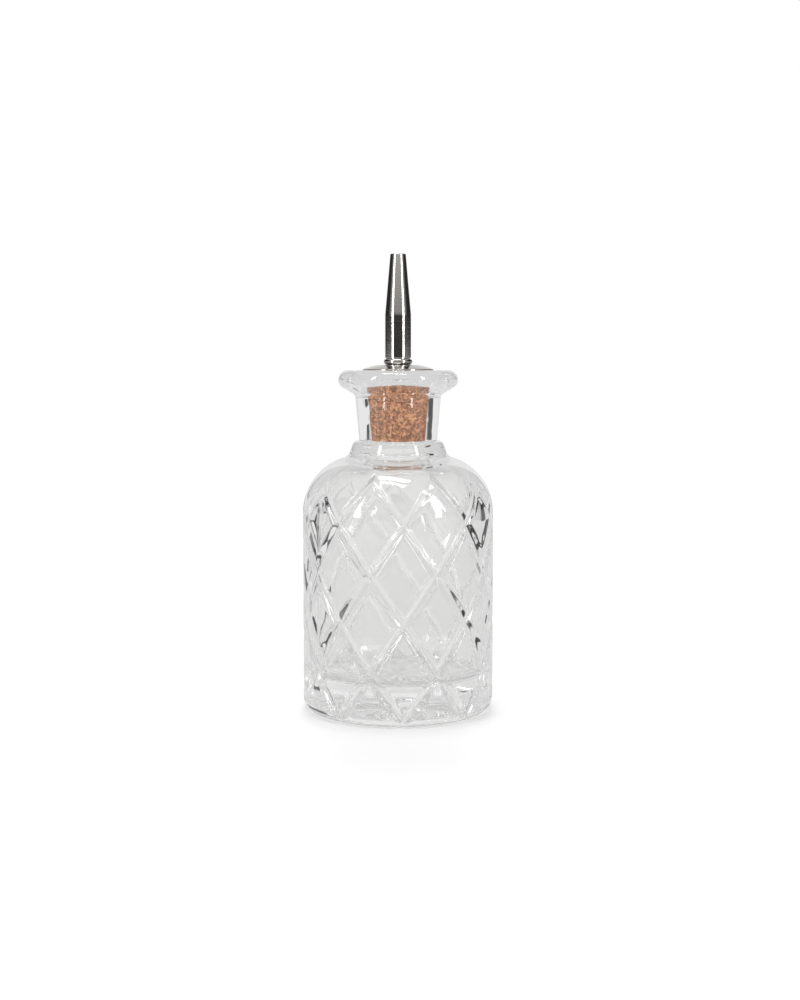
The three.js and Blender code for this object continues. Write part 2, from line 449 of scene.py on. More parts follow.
def make_piece(name, points, faces, material, body, node):
    """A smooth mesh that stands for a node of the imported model."""
    mesh = bpy.data.meshes.new(name)
    mesh.from_pydata(points.tolist(), [], faces)
    mesh.shade_smooth()
    mesh.materials.append(material)
    piece = bpy.data.objects.new(name, mesh)
    bpy.context.scene.collection.objects.link(piece)
    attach(piece, body)
    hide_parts(node)
    return piece


# Glass

def groove_section(reach):
    """Depth share of a groove at a distance from its middle, where 1 is its edge.

    The section is a V with a round bottom and rounded edges.
    """
    bottom = 0.4
    edge = 0.32
    slope = 1 / (1 - bottom / 2)
    deep = 1 - slope * reach**2 / (2 * bottom)
    flank = 1 - slope * (reach - bottom / 2)
    brim = slope * (1 + edge - reach) ** 2 / (4 * edge)
    section = np.where(reach < bottom, deep, np.where(reach < 1 - edge, flank, brim))
    return np.where(reach < 1 + edge, section, 0)


class GlassForm:
    """Works out the glass's surfaces from its sizes."""

    def __init__(self, sizes):
        self.sizes = sizes
        self.columns = 2 * GROOVES * STEPS_PER_ROW
        self.shoulder_centre = sizes.body_radius - SHOULDER_RADIUS
        across = COLLAR_FOOT_RADIUS + COLLAR_BEVEL - self.shoulder_centre
        self.shoulder_turn = math.acos(across / SHOULDER_RADIUS)
        self.shoulder_top = SHOULDER_FOOT + SHOULDER_RADIUS * math.sin(self.shoulder_turn)
        self.collar_foot = self.shoulder_top + COLLAR_BEVEL
        self.collar_top = self.collar_foot + COLLAR_HEIGHT
        self.neck_top = self.collar_top + NECK_HEIGHT
        self.lip_centre = LIP_RADIUS - LIP_ROUND
        slope_run = self.lip_centre - NECK_TOP_RADIUS - LIP_FILLET
        self.lip_centre_height = (
            self.neck_top
            + math.tan(LIP_SLOPE) * slope_run
            + (LIP_ROUND + LIP_FILLET) / math.cos(LIP_SLOPE)
        )
        self.lip_top = self.lip_centre_height + LIP_ROUND
        self.side_length = SHOULDER_FOOT - PATTERN_FOOT
        arch_length = ARCH_POINT_SHARE * SHOULDER_RADIUS * self.shoulder_turn
        self.row_height = (self.side_length + arch_length) / ROWS
        self.column_turn = math.pi / GROOVES

    def skin(self, length, depth):
        """Radii and heights of the patterned skin, cut to a depth.

        Length is measured up the side and along the shoulder's curve, from the crossings
        on the heel.
        """
        height = PATTERN_FOOT + length
        below = np.clip(HEEL_RADIUS - height, 0, HEEL_RADIUS)
        heel = HEEL_RADIUS - np.sqrt(HEEL_RADIUS**2 - below**2)
        inset = (depth**HEEL_POWER + heel**HEEL_POWER) ** (1 / HEEL_POWER)
        turn = np.maximum(0, length - self.side_length) / SHOULDER_RADIUS
        reach = SHOULDER_RADIUS - inset
        return (
            self.shoulder_centre + reach * np.cos(turn),
            np.minimum(height, SHOULDER_FOOT) + reach * np.sin(turn),
        )

    def cut_depth(self, length, side):
        """Depth of the pattern. Side counts columns from the front."""
        row = length / self.row_height
        radius, _ = self.skin(length, 0 * length)
        off_arch = np.abs((side % 2) - 1)
        fade = np.clip((ROWS - row) / FADE_ROWS, 0, 1)
        share = TIP_SHARE + (1 - TIP_SHARE) * fade
        to_length = 1 / np.hypot(1 / self.row_height, 1 / (radius * self.column_turn))
        half_width = share * self.sizes.groove_width / 2
        total = np.zeros(self.columns)
        for lower in range(0, ROWS + 1, 2):
            for line in (ROWS - off_arch - lower, ROWS - 2 + off_arch - lower):
                reach = np.abs(row - line) * to_length / half_width
                total = total + groove_section(reach) ** CROSSING_POWER
        return self.sizes.groove_depth * share * total ** (1 / CROSSING_POWER)

    def pattern_lengths(self):
        """Lengths of the pattern's rings: graded round the heel, then even."""
        heel_turns = np.linspace(HEEL_PATTERN_TURN, math.pi / 2, 16)[:-1]
        heel = HEEL_RADIUS * (1 - np.cos(heel_turns)) - PATTERN_FOOT
        step = self.row_height / STEPS_PER_ROW
        top = ROWS * self.row_height + self.sizes.groove_width * PATTERN_OVERRUN_SHARE
        side = np.arange(HEEL_RADIUS - PATTERN_FOOT, top, step)
        return np.concatenate([heel, side])

    def pattern_rings(self):
        """Points of the patterned skin, one array per ring."""
        columns = np.arange(self.columns)
        side = columns / STEPS_PER_ROW
        angle = PATTERN_TURN + side * self.column_turn
        rings = []
        for length in self.pattern_lengths():
            along = np.full(self.columns, length)
            radius, height = self.skin(along, self.cut_depth(along, side))
            rings.append(
                np.stack([radius * np.sin(angle), -radius * np.cos(angle), height], axis=1)
            )
        return rings

    def base_profile(self):
        """Under the base: a shallow hollow and the flat ring that the bottle stands on."""
        outer = self.sizes.body_radius - HEEL_RADIUS
        inner = outer - BEARING_WIDTH
        hollow = [
            (inner * share, PUNT_DEPTH * (1 - share**2))
            for share in np.linspace(POLE_SHARE, 1, 12)
        ]
        heel_start = arc(
            outer, HEEL_RADIUS, HEEL_RADIUS, -math.pi / 2, HEEL_PLAIN_TURN - math.pi / 2, 3
        )
        return hollow, heel_start

    def rayed(self, radius, height):
        """A ring of the hollow under the base, with the points of a pressed star."""
        points = ring(radius, height, self.columns)
        rays = np.abs(np.sin(np.arange(self.columns) * (math.pi * STAR_RAYS / self.columns)))
        reach = radius / (self.sizes.body_radius - HEEL_RADIUS - BEARING_WIDTH)
        points[:, 2] += STAR_DEPTH * rays * math.sin(math.pi * min(1, reach)) ** STAR_POWER
        return points

    def upper_profile(self):
        """Above the pattern: shoulder, ring, neck and lip, then down inside to the floor."""
        sizes = self.sizes
        start = (self.pattern_lengths()[-1] - self.side_length) / SHOULDER_RADIUS
        centre = self.shoulder_centre
        shoulder = arc(
            centre, SHOULDER_FOOT, SHOULDER_RADIUS, start, self.shoulder_turn, 24
        )[1:-1]
        collar = rounded([
            (*shoulder[-1], 0),
            (COLLAR_FOOT_RADIUS + COLLAR_BEVEL, self.shoulder_top, COLLAR_BEVEL_ROUND),
            (COLLAR_FOOT_RADIUS, self.collar_foot, COLLAR_FOOT_ROUND),
            (COLLAR_TOP_RADIUS, self.collar_top, COLLAR_ROUND),
            (NECK_FOOT_RADIUS, self.collar_top, NECK_FOOT_ROUND),
            (NECK_TOP_RADIUS, self.neck_top, 0),
        ])[1:-1]
        outside = (
            arc(NECK_TOP_RADIUS + LIP_FILLET, self.neck_top, LIP_FILLET,
                math.pi, math.pi / 2 + LIP_SLOPE, 8)
            + arc(self.lip_centre, self.lip_centre_height, LIP_ROUND,
                  LIP_SLOPE - math.pi / 2, math.pi / 2, 24)
        )
        inner_shoulder = SHOULDER_RADIUS - sizes.wall
        throat = BORE_FOOT_RADIUS + THROAT_FILLET
        throat_turn = math.acos((throat - centre) / (inner_shoulder + THROAT_FILLET))
        bore_foot = SHOULDER_FOOT + (inner_shoulder + THROAT_FILLET) * math.sin(throat_turn)
        rim = arc(
            self.lip_centre, self.lip_top - MOUTH_ROUND, MOUTH_ROUND,
            math.pi / 2, math.pi - MOUTH_TILT, 12,
        )
        bore_top = rim[-1][1] - (rim[-1][0] - BORE_TOP_RADIUS) / math.tan(MOUTH_TILT)
        floor_corner = sizes.body_radius - sizes.wall - FLOOR_FILLET
        bore = [
            (BORE_TOP_RADIUS + (BORE_FOOT_RADIUS - BORE_TOP_RADIUS) * share,
             bore_top + (bore_foot - bore_top) * share)
            for share in np.linspace(0, 1, 26)[1:-1]
        ]
        side = [
            (floor_corner + FLOOR_FILLET, height)
            for height in np.linspace(SHOULDER_FOOT, BASE_THICKNESS + FLOOR_FILLET, 44)[1:-1]
        ]
        floor = [
            (floor_corner * share, BASE_THICKNESS)
            for share in np.linspace(1, POLE_SHARE, 16)[1:]
        ]
        funnel = rounded([
            (*rim[-1], 0),
            (BORE_TOP_RADIUS, bore_top, MOUTH_FILLET),
            (*bore[0], 0),
        ])[1:-1]
        inside = (
            rim[1:]
            + funnel
            + bore
            + arc(throat, bore_foot, THROAT_FILLET, math.pi, math.pi + throat_turn, 14)
            + arc(centre, SHOULDER_FOOT, inner_shoulder, throat_turn, 0, 24)[1:]
            + side
            + arc(floor_corner, BASE_THICKNESS + FLOOR_FILLET, FLOOR_FILLET, 0, -math.pi / 2, 12)
            + floor
        )
        return shoulder[:-1] + collar + outside, inside

    def wandered(self, points):
        """The inside's points, moved in and out a little, least in the neck."""
        moved = points.copy()
        for index, (x, y, z) in enumerate(points):
            radius = math.hypot(x, y)
            swell = noise.noise(Vector((x, y, z * LONG_SWELL_HEIGHT_SHARE)) / LONG_SWELL)
            short = noise.noise(Vector((x, y, z)) / SHORT_SWELL + SHORT_SWELL_SHIFT)
            swell += SHORT_SWELL_SHARE * short
            rise = (z - SHOULDER_FOOT) / (self.shoulder_top - SHOULDER_FOOT)
            calm = NECK_CALM_SHARE * min(1, max(0, rise))
            move = self.sizes.waviness * (1 - calm) * swell
            share = 1 + move / radius
            moved[index] = (x * share, y * share, z + UPRIGHT_SWELL_SHARE * move)
        return moved

    def mesh(self):
        """Points and faces of the whole bottle, closed on the axis below and inside."""
        outside, inside = self.upper_profile()
        inner_rings = np.concatenate([ring(r, z, self.columns) for r, z in inside])
        hollow, heel_start = self.base_profile()
        rings = (
            [self.rayed(r, z) for r, z in hollow]
            + [ring(r, z, self.columns) for r, z in heel_start]
            + self.pattern_rings()
            + [ring(r, z, self.columns) for r, z in outside]
            + [self.wandered(inner_rings)]
        )
        points = np.concatenate(rings)
        count = len(points) // self.columns
        faces = []
        for index in range(count - 1):
            start = index * self.columns
            faces += faces_between(start, start + self.columns, self.columns)
        last = (count - 1) * self.columns
        poles = [[0, 0, PUNT_DEPTH], [0, 0, BASE_THICKNESS]]
        under, floor = len(points), len(points) + 1
        for column in range(self.columns):
            beside = (column + 1) % self.columns
            faces.append((under, beside, column))
            faces.append((last + column, last + beside, floor))
        return np.concatenate([points, poles]), faces


# Finishes

def node_adder(tree):
    """A function that adds a node to a tree and sets its inputs and properties by name."""

    def add(kind, **values):
        node = tree.nodes.new(kind)
        for key, value in values.items():
            if key in node.inputs:
                node.inputs[key].default_value = value
            else:
                setattr(node, key, value)
        return node

    return add


def finish(name):
    """A new material with its Principled shader and the functions that add and link nodes."""
    material = bpy.data.materials.new(name)
    material.use_nodes = True
    tree = material.node_tree
    return material, tree.nodes["Principled BSDF"], node_adder(tree), tree.links.new


def graded(add, link, value, source, target, kind="SMOOTHSTEP"):
    """A value carried over from a source range to a target range, and held within it."""
    grade = add("ShaderNodeMapRange", interpolation_type=kind)
    names = ("From Min", "From Max", "To Min", "To Max")
    for name, number in zip(names, (*source, *target)):
        grade.inputs[name].default_value = number
    link(value, grade.inputs["Value"])
    return grade.outputs["Result"]


def lamplit(add, link, path, place, surface):
    """The glass's surface, which lets lamp light through, least at the thick base."""
    height = add("ShaderNodeSeparateXYZ")
    link(place.outputs["Object"], height.inputs["Vector"])
    heights = (BASE_THICKNESS / 3, BASE_THICKNESS * 2)
    passed = graded(add, link, height.outputs["Z"], heights, (BASE_SHADOW, NECK_SHADOW))
    through = add("ShaderNodeBsdfTransparent")
    link(passed, through.inputs["Color"])
    mix = add("ShaderNodeMixShader")
    link(path.outputs["Is Shadow Ray"], mix.inputs[0])
    link(surface, mix.inputs[1])
    link(through.outputs["BSDF"], mix.inputs[2])
    return mix.outputs["Shader"]


def painted_end_glow(add, link, path, surface):
    """The glass's surface, which glows pale, as painted light, for rays that have gone on for too long.
    """
    deep = add("ShaderNodeMath", operation="GREATER_THAN")
    deep.inputs[1].default_value = MOST_MIRRORINGS
    link(path.outputs["Glossy Depth"], deep.inputs[0])
    long = add("ShaderNodeMath", operation="GREATER_THAN")
    long.inputs[1].default_value = MOST_BOUNCES
    link(path.outputs["Ray Depth"], long.inputs[0])
    cut = add("ShaderNodeMath", operation="MAXIMUM")
    link(deep.outputs["Value"], cut.inputs[0])
    link(long.outputs["Value"], cut.inputs[1])
    # Painted light: an even pale glow in place of the rest of a cut-short path
    pale = add("ShaderNodeEmission", Strength=PATH_END_GLOW)
    mix = add("ShaderNodeMixShader")
    link(cut.outputs["Value"], mix.inputs[0])
    link(surface, mix.inputs[1])
    link(pale.outputs["Emission"], mix.inputs[2])
    return mix.outputs["Shader"]


def glass_finish(settings):
    """Clear pressed glass with faint smears and a faintly rolling surface."""
    material, shader, add, link = finish("clear_glass")
    shader.inputs["Base Color"].default_value = (*settings.colour, 1)
    shader.inputs["Transmission Weight"].default_value = 1
    shader.inputs["IOR"].default_value = 1.51
    place = add("ShaderNodeTexCoord")
    smears = add("ShaderNodeTexNoise", Scale=70, Detail=3)
    link(place.outputs["Object"], smears.inputs["Vector"])
    matt = graded(add, link, smears.outputs["Fac"], (0.45, 0.75), (0, 0.02), "LINEAR")
    link(matt, shader.inputs["Roughness"])
    ripple = add("ShaderNodeTexNoise", Scale=160, Detail=1)
    link(place.outputs["Object"], ripple.inputs["Vector"])
    bump = add("ShaderNodeBump", Strength=0.25, Distance=0.2 * MM)
    link(ripple.outputs["Fac"], bump.inputs["Height"])
    link(bump.outputs["Normal"], shader.inputs["Normal"])
    path = add("ShaderNodeLightPath")
    surface = lamplit(add, link, path, place, shader.outputs["BSDF"])
    # Painted light: the glass glows pale for rays that go on too long
    surface = painted_end_glow(add, link, path, surface)
    link(surface, material.node_tree.nodes["Material Output"].inputs["Surface"])
    return material


def cork_finish(settings):
    """Agglomerated cork: glued granules of several browns, bark specks and pits."""
    material, shader, add, link = finish("agglomerated_cork")
    place = add("ShaderNodeTexCoord")
    wander = add("ShaderNodeTexNoise", Scale=1400, Detail=2)
    link(place.outputs["Object"], wander.inputs["Vector"])
    warp = add("ShaderNodeVectorMath", operation="MULTIPLY_ADD")
    warp.inputs[1].default_value = (0.5 * MM, 0.5 * MM, 0.5 * MM)
    link(wander.outputs["Color"], warp.inputs[0])
    link(place.outputs["Object"], warp.inputs[2])
    granules = add("ShaderNodeTexVoronoi", Scale=1 / settings.grain)
    link(warp.outputs["Vector"], granules.inputs["Vector"])
    tone = add("ShaderNodeSeparateColor")
    link(granules.outputs["Color"], tone.inputs["Color"])
    fine = add("ShaderNodeTexNoise", Scale=3200, Detail=3, Roughness=0.7)
    link(place.outputs["Object"], fine.inputs["Vector"])
    blend = add("ShaderNodeMix", data_type="FLOAT")
    blend.inputs["Factor"].default_value = 0.5
    link(tone.outputs["Red"], blend.inputs[2])
    link(fine.outputs["Fac"], blend.inputs[3])
    brown_shares = (0.27, 0.48, 0.72)
    colours = (settings.dark_colour, settings.middle_colour, settings.light_colour)
    browns = add("ShaderNodeValToRGB")
    ramp = browns.color_ramp
    ramp.elements.new(0.5)
    for element, share, colour in zip(ramp.elements, brown_shares, colours):
        element.position = share
        element.color = (*colour, 1)
    link(blend.outputs[0], browns.inputs["Fac"])
    chips = add("ShaderNodeTexVoronoi", Scale=1.9 / settings.grain)
    link(warp.outputs["Vector"], chips.inputs["Vector"])
    bark = add("ShaderNodeSeparateColor")
    link(chips.outputs["Color"], bark.inputs["Color"])
    specks = graded(add, link, bark.outputs["Green"], (0.84, 0.92), (0, 1))
    colour = add("ShaderNodeMix", data_type="RGBA")
    link(specks, colour.inputs[0])
    link(browns.outputs["Color"], colour.inputs[6])
    colour.inputs[7].default_value = (*settings.speck_colour, 1)
    link(colour.outputs[2], shader.inputs["Base Color"])
    dry = graded(add, link, fine.outputs["Fac"], (0, 1), (0.72, 0.95), "LINEAR")
    link(dry, shader.inputs["Roughness"])
    relief = add("ShaderNodeMath", operation="SUBTRACT")
    link(fine.outputs["Fac"], relief.inputs[0])
    link(granules.outputs["Distance"], relief.inputs[1])
    bump = add("ShaderNodeBump", Strength=0.6, Distance=0.3 * MM)
    link(relief.outputs["Value"], bump.inputs["Height"])
    link(bump.outputs["Normal"], shader.inputs["Normal"])
    return material


def steel_finish(settings):
    """Polished steel with the faint rings that turning leaves."""
    material, shader, add, link = finish("polished_steel")
    shader.inputs["Base Color"].default_value = (*settings.colour, 1)
    shader.inputs["Metallic"].default_value = 1
    place = add("ShaderNodeTexCoord")
    squash = add("ShaderNodeMapping")
    squash.inputs["Scale"].default_value = (60, 60, 2400)
    link(place.outputs["Object"], squash.inputs["Vector"])
    rings = add("ShaderNodeTexNoise", Scale=1, Detail=3)
    link(squash.outputs["Vector"], rings.inputs["Vector"])
    rough = (settings.roughness * 0.6, settings.roughness * 1.5)
    polish = graded(add, link, rings.outputs["Fac"], (0, 1), rough, "LINEAR")
    link(polish, shader.inputs["Roughness"])
    bump = add("ShaderNodeBump", Strength=0.06, Distance=0.1 * MM)
    link(rings.outputs["Fac"], bump.inputs["Height"])
    link(bump.outputs["Normal"], shader.inputs["Normal"])
    return material


# Heights of the stopper's pieces

def stopper_height():
    """Height of the cork's top."""
    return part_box("cork_stopper")[1].z


def recess_top():
    """Height of the top of the recess in the cork's foot."""
    return stopper_height() - CORK_LENGTH + RECESS_DEPTH


def stem_foot():
    """Height of the stem's lower end, below its flare and the washer."""
    return recess_top() - WASHER_THICKNESS - FLARE_HEIGHT


# Operators

class BITTERS_OT_glass(bpy.types.Operator):
    """Make the pressed glass bottle with its diamond cut pattern"""

    bl_idname = "bitters.glass"
    bl_label = "Glass Bottle"

    def execute(self, context):
        settings = context.scene.bitters_glass
        points, faces = GlassForm(settings).mesh()
        make_piece("cut_glass_bottle", points, faces, glass_finish(settings),
                   "bottle", "glass_bottle")
        return {"FINISHED"}


class BITTERS_OT_cork(bpy.types.Operator):
    """Make the tapered cork with its pits and its recess below"""

    bl_idname = "bitters.cork"
    bl_label = "Cork"

    def execute(self, context):
        settings = context.scene.bitters_cork
        top = stopper_height()
        foot = top - CORK_LENGTH
        corners = rounded([
            (RECESS_RADIUS, foot, WIDE_EDGE),
            (CORK_FOOT_RADIUS, foot, CORK_EDGE),
            (CORK_TOP_RADIUS, top - CORK_STRAIGHT, 0),
            (CORK_TOP_RADIUS, top, CORK_EDGE),
            (STEM_HOLE, top, FINE_EDGE),
            (STEM_HOLE, foot + RECESS_DEPTH, 0),
            (RECESS_RADIUS, foot + RECESS_DEPTH, WIDE_EDGE),
        ], steps=4)
        profile = self.subdivided(corners, CORK_STEP)
        points, faces = lathe(profile, CORK_COLUMNS)
        make_piece("tapered_cork", self.pitted(points), faces, cork_finish(settings),
                   "stopper", "cork_stopper")
        return {"FINISHED"}

    def subdivided(self, corners, step):
        """The closed profile with points at most a step apart."""
        profile = []
        for index, corner in enumerate(corners):
            start = Vector(corner)
            end = Vector(corners[(index + 1) % len(corners)])
            count = max(1, math.ceil((end - start).length / step))
            profile += [tuple(start.lerp(end, i / count)) for i in range(count)]
        return profile

    def pitted(self, points):
        """Points sunk into small pits where granules have come away."""
        sunk = points.copy()
        for index, (x, y, z) in enumerate(points):
            radius = math.hypot(x, y)
            if radius < RECESS_RADIUS:
                continue
            chip = noise.noise(Vector((x, y, z)) / PIT_SIZE)
            depth = max(0, chip - PIT_LEVEL) * PIT_DEPTH
            share = 1 - depth / radius
            sunk[index] = (x * share, y * share, z)
        return sunk


class BITTERS_OT_disc(bpy.types.Operator):
    """Make the thin domed steel disc that covers the cork"""

    bl_idname = "bitters.disc"
    bl_label = "Steel Disc"

    def execute(self, context):
        foot = stopper_height()
        hole = STEM_RADIUS + FIT
        dome = []
        for share in np.linspace(0, 1, 25)[1:]:
            radius = DISC_RADIUS + (DISC_FLAT_RADIUS - DISC_RADIUS) * share
            dome.append((radius, foot + DISC_EDGE + DISC_RISE * math.sin(share * math.pi / 2)))
        edge = rounded([
            (hole, foot, 0),
            (DISC_RADIUS, foot, EDGE),
            (DISC_RADIUS, foot + DISC_EDGE, EDGE),
            (*dome[0], 0),
        ])[:-1]
        rim = [(hole, foot + DISC_EDGE + DISC_RISE)]
        points, faces = lathe(edge + dome + rim, STEEL_COLUMNS)
        make_piece("domed_disc", points, faces, steel_finish(context.scene.bitters_steel),
                   "stopper", "flange_disc")
        return {"FINISHED"}


class BITTERS_OT_spout(bpy.types.Operator):
    """Make the slim steel spout with its bead, barrel and taper"""

    bl_idname = "bitters.spout"
    bl_label = "Steel Spout"

    def execute(self, context):
        foot = stopper_height() + DISC_EDGE + DISC_RISE
        barrel_foot = foot + BEAD_HEIGHT + BEAD_NECK_HEIGHT
        barrel_top = barrel_foot + BARREL_LENGTH
        tip = barrel_top + TAPER_LENGTH
        socket = STEM_RADIUS + FIT
        neck = BARREL_RADIUS - BEAD_NECK_DEPTH
        bead = []
        for turn in np.linspace(-math.pi / 2, math.pi / 2, 17):
            root = BEAD_FOOT_RADIUS if turn < 0 else neck
            swell = (BEAD_RADIUS - root) * math.cos(turn)
            bead.append((root + swell, foot + BEAD_HEIGHT / 2 * (1 + math.sin(turn))))
        shaft = rounded([
            (neck, barrel_foot, 0),
            (BARREL_RADIUS, barrel_foot, FINE_EDGE),
            (BARREL_RADIUS, barrel_top, BARREL_ROUND),
            (TIP_RADIUS, tip, TIP_EDGE),
            (TIP_RADIUS - TIP_WALL, tip, WIDE_EDGE),
            (STEM_BORE, foot + STEM_REACH + FIT, 0),
            (socket, foot + STEM_REACH + FIT, 0),
            (socket, foot, 0),
        ], steps=10)
        points, faces = lathe(bead + shaft, STEEL_COLUMNS)
        make_piece("slim_spout", points, faces, steel_finish(context.scene.bitters_steel),
                   "stopper", "dasher_spout")
        return {"FINISHED"}


class BITTERS_OT_stem(bpy.types.Operator):
    """Make the stem with the washer and the insert at its lower end"""

    bl_idname = "bitters.stem"
    bl_label = "Stem, Washer and Insert"

    def execute(self, context):
        steel = steel_finish(context.scene.bitters_steel)
        foot = stem_foot()
        stem_top = stopper_height() + DISC_EDGE + DISC_RISE + STEM_REACH
        stem = rounded([
            (STEM_BORE, foot, EDGE),
            (FLARE_RADIUS, foot, EDGE),
            (FLARE_RADIUS, foot + FLARE_HEIGHT, EDGE),
            (STEM_RADIUS, foot + FLARE_HEIGHT, 0),
            (STEM_RADIUS, stem_top, EDGE),
            (STEM_BORE, stem_top, EDGE),
        ])
        washer_foot = foot + FLARE_HEIGHT
        washer = rounded([
            (STEM_RADIUS + FIT, washer_foot, EDGE),
            (WASHER_RADIUS, washer_foot, EDGE),
            (WASHER_RADIUS, washer_foot + WASHER_THICKNESS, EDGE),
            (STEM_RADIUS + FIT, washer_foot + WASHER_THICKNESS, EDGE),
        ])
        head_foot = foot - INSERT_HEAD_HEIGHT
        insert = rounded([
            (INSERT_HOLE, head_foot, EDGE),
            (INSERT_HEAD_RADIUS, head_foot, EDGE),
            (INSERT_HEAD_RADIUS, foot, EDGE),
            (STEM_BORE - FIT, foot, 0),
            (STEM_BORE - FIT, foot + INSERT_LENGTH, EDGE),
            (INSERT_HOLE, foot + INSERT_LENGTH, EDGE),
        ])
        for name, profile, node in (
            ("stem", stem, "stem_tube"),
            ("washer", washer, "retaining_washer"),
            ("metering_insert", insert, "dash_insert"),
        ):
            points, faces = lathe(profile, STEEL_COLUMNS)
            make_piece(name, points, faces, steel, "stopper", node)
        return {"FINISHED"}


# Stage

def add_to_stage(name, data):
    """A new floor, lamp or card, which is no part of the bottle."""
    thing = bpy.data.objects.new(name, data)
    bpy.context.scene.collection.objects.link(thing)
    return thing


def aim(thing, place, target):
    """Puts a camera or lamp somewhere and points it at a target."""
    thing.location = place
    direction = Vector(target) - Vector(place)
    thing.rotation_euler = direction.to_track_quat("-Z", "Y").to_euler()


class BITTERS_OT_stage(bpy.types.Operator):
    """Set the floor, the backdrop, the lamps and the camera"""

    bl_idname = "bitters.stage"
    bl_label = "Stage"

    def execute(self, context):
        settings = context.scene.bitters_stage
        self.camera(context, settings)
        self.floor(settings)
        self.backdrop(context, settings)
        self.lamps()
        self.cards()
        context.scene.view_settings.view_transform = "Standard"
        return {"FINISHED"}

    def camera(self, context, settings):
        """A camera in front of the bottle, a little above its lip and tilted down."""
        camera = bpy.data.objects.new("camera", bpy.data.cameras.new("camera"))
        context.scene.collection.objects.link(camera)
        camera.data.lens = settings.lens
        camera.data.clip_start = 0.01
        place = Vector((CAMERA_ASIDE, -settings.camera_distance, settings.camera_height))
        ahead = Vector((0, math.cos(CAMERA_TILT), -math.sin(CAMERA_TILT)))
        aim(camera, place, place + ahead)
        context.scene.camera = camera

    def floor(self, settings):
        """A pale table.

        It glows a little where the lamps don't reach, far off and under the glass, and
        only for the rays that see it.
        """
        half = TABLE_HALF
        mesh = bpy.data.meshes.new("floor")
        mesh.from_pydata(
            [(-half, -half, 0), (half, -half, 0), (half, half, 0), (-half, half, 0)],
            [],
            [(0, 1, 2, 3)],
        )
        material, shader, add, link = finish("white_table")
        grain = add("ShaderNodeTexNoise", Scale=30, Detail=2)
        shade = add("ShaderNodeValToRGB")
        for element, grey in zip(shade.color_ramp.elements, TABLE_GREYS):
            element.color = (grey, grey, grey, 1)
        link(grain.outputs["Fac"], shade.inputs["Fac"])
        link(shade.outputs["Color"], shader.inputs["Base Color"])
        shader.inputs["Roughness"].default_value = 0.9
        shader.inputs["Specular IOR Level"].default_value = 0
        shader.inputs["Emission Color"].default_value = (1, 1, 1, 1)
        place = add("ShaderNodeTexCoord")
        distance = add("ShaderNodeVectorMath", operation="LENGTH")
        link(place.outputs["Object"], distance.inputs[0])
        away = distance.outputs["Value"]
        glow = graded(add, link, away, FAR_GLOW_REACH, (0, FAR_GLOW))
        seen = add("ShaderNodeMath", operation="MULTIPLY")
        path = add("ShaderNodeLightPath")
        under = graded(add, link, away, UNDER_GLOW_REACH, (UNDER_GLOW, 0))
        both = add("ShaderNodeMath", operation="MULTIPLY_ADD")
        link(under, both.inputs[0])
        link(path.outputs["Is Transmission Ray"], both.inputs[1])
        link(glow, both.inputs[2])
        link(both.outputs["Value"], seen.inputs[0])
        link(self.seen_share(add, link), seen.inputs[1])
        white = add("ShaderNodeMath", operation="MULTIPLY_ADD")
        white.inputs[1].default_value = settings.table_lift
        link(path.outputs["Is Camera Ray"], white.inputs[0])
        link(seen.outputs["Value"], white.inputs[2])
        link(white.outputs["Value"], shader.inputs["Emission Strength"])
        mesh.materials.append(material)
        add_to_stage("floor", mesh)

    def seen_share(self, add, link):
        """1 for rays that show the backdrop: straight, mirrored or through glass."""
        path = add("ShaderNodeLightPath")
        first = add("ShaderNodeMath", operation="MAXIMUM")
        link(path.outputs["Is Camera Ray"], first.inputs[0])
        link(path.outputs["Is Glossy Ray"], first.inputs[1])
        second = add("ShaderNodeMath", operation="MAXIMUM")
        link(first.outputs["Value"], second.inputs[0])
        link(path.outputs["Is Transmission Ray"], second.inputs[1])
        return second.outputs["Value"]

    def backdrop(self, context, settings):
        """A white surround, which glass and metal see greyer, most so overhead."""
        world = bpy.data.worlds.new("studio")
        world.use_nodes = True
        context.scene.world = world
        tree = world.node_tree
        lamp = tree.nodes["Background"]
        lamp.inputs["Color"].default_value = (1, 1, 1, 1)
        add = node_adder(tree)
        link = tree.links.new
        seen = self.seen_share(add, link)
        path = add("ShaderNodeLightPath")
        white = add("ShaderNodeMix", data_type="FLOAT")
        place = add("ShaderNodeTexCoord")
        up = add("ShaderNodeSeparateXYZ")
        link(place.outputs["Generated"], up.inputs["Vector"])
        levels = (settings.seen_level, settings.overhead_level)
        shown = graded(add, link, up.outputs["Z"], OVERHEAD_SHARES, levels)
        link(shown, white.inputs[2])
        white.inputs[3].default_value = settings.backdrop
        link(path.outputs["Is Camera Ray"], white.inputs[0])
        level = add("ShaderNodeMix", data_type="FLOAT")
        level.inputs[2].default_value = settings.fill
        link(white.outputs[0], level.inputs[3])
        link(seen, level.inputs[0])
        link(level.outputs[0], lamp.inputs["Strength"])

    def softbox(self, name, place, target, width, height, brightness):
        """A rectangular lamp. Brightness is how many times white it looks."""
        data = bpy.data.lights.new(name, "AREA")
        data.shape = "RECTANGLE"
        data.size = width
        data.size_y = height
        data.energy = brightness * math.pi * width * height
        lamp = add_to_stage(name, data)
        aim(lamp, place, target)
        return lamp

